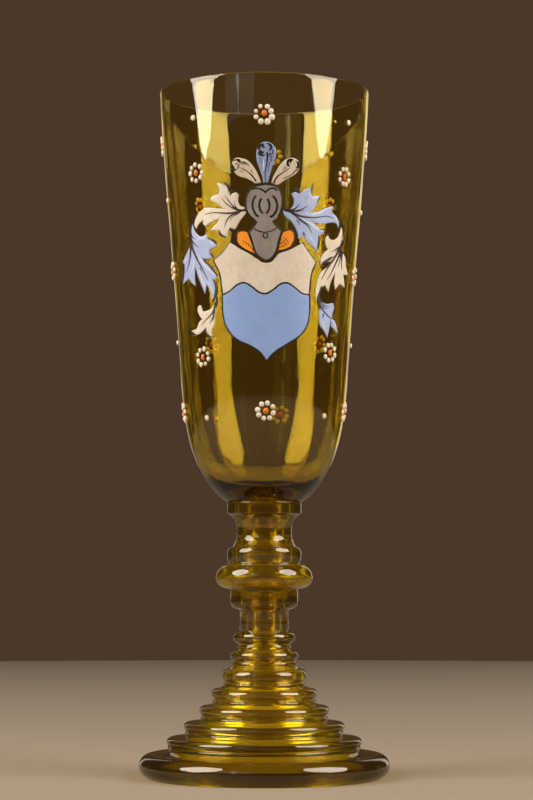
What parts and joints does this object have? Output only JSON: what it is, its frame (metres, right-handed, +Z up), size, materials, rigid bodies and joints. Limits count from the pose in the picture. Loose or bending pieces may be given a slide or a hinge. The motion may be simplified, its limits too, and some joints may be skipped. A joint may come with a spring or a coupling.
{
  "type": "goblet",
  "caption": "Tall amber-green glass goblet: conical hollow bowl with painted shield and bead flowers, knopped hollow stem and wide ringed foot.",
  "frame": {"origin": "centre of the ring that the foot stands on, on the table plane", "axes": "+Z up along the goblet's axis, the painted front faces -Y, +X to the right seen from the front"},
  "size_m": [0.109, 0.109, 0.3],
  "materials": {
    "glass_amber": "clear amber-green blown glass, smooth and glossy",
    "enamel_cream": null,
    "enamel_blue": null,
    "enamel_grey": null,
    "enamel_orange": null
  },
  "bodies": {
    "root": {"foot_rim": "glass_amber", "foot_ring_6": "glass_amber", "foot_ring_5": "glass_amber", "foot_ring_4": "glass_amber", "foot_ring_3": "glass_amber", "foot_ring_2": "glass_amber", "foot_ring_1": "glass_amber", "stem_ring": "glass_amber", "stem_shaft": "glass_amber", "lower_collar": "glass_amber", "knop": "glass_amber", "shoulder_collar": "glass_amber", "stem_neck": "glass_amber", "merese": "glass_amber", "bowl": "glass_amber", "shield_upper_field": "enamel_cream", "shield_lower_field": "enamel_blue", "helm": "enamel_grey", "plume_centre": "enamel_blue", "plume_left": "enamel_cream", "plume_right": "enamel_cream", "lining_left": "enamel_orange", "lining_right": "enamel_orange", "leaf_upper_left": "enamel_cream", "leaf_upper_right": "enamel_blue", "leaf_lower_left": "enamel_blue", "leaf_lower_right": "enamel_cream", "leaf_tail_left": "enamel_cream", "leaf_tail_right": "enamel_blue", "flower_front_1": "enamel_cream", "flower_front_2": "enamel_cream", "flower_front_3": "enamel_cream", "flower_front_4": "enamel_cream", "flower_front_5": "enamel_cream", "flower_front_6": "enamel_cream", "flower_side_1": "enamel_cream", "flower_side_2": "enamel_cream", "flower_side_3": "enamel_cream", "flower_side_4": "enamel_cream", "flower_side_5": "enamel_cream", "flower_side_6": "enamel_cream", "flower_back_1": "enamel_cream", "flower_back_2": "enamel_cream", "flower_back_3": "enamel_cream", "flower_back_4": "enamel_cream", "flower_back_5": "enamel_cream", "flower_back_6": "enamel_cream", "flower_back_7": "enamel_cream", "dot_front_1": "enamel_cream", "dot_front_2": "enamel_cream", "dot_front_3": "enamel_cream", "dot_front_4": "enamel_cream", "dot_side_1": "enamel_cream", "dot_side_2": "enamel_cream", "dot_side_3": "enamel_cream", "dot_side_4": "enamel_cream", "dot_back_1": "enamel_cream", "dot_back_2": "enamel_cream", "dot_back_3": "enamel_cream"}
  },
  "joints": []
}
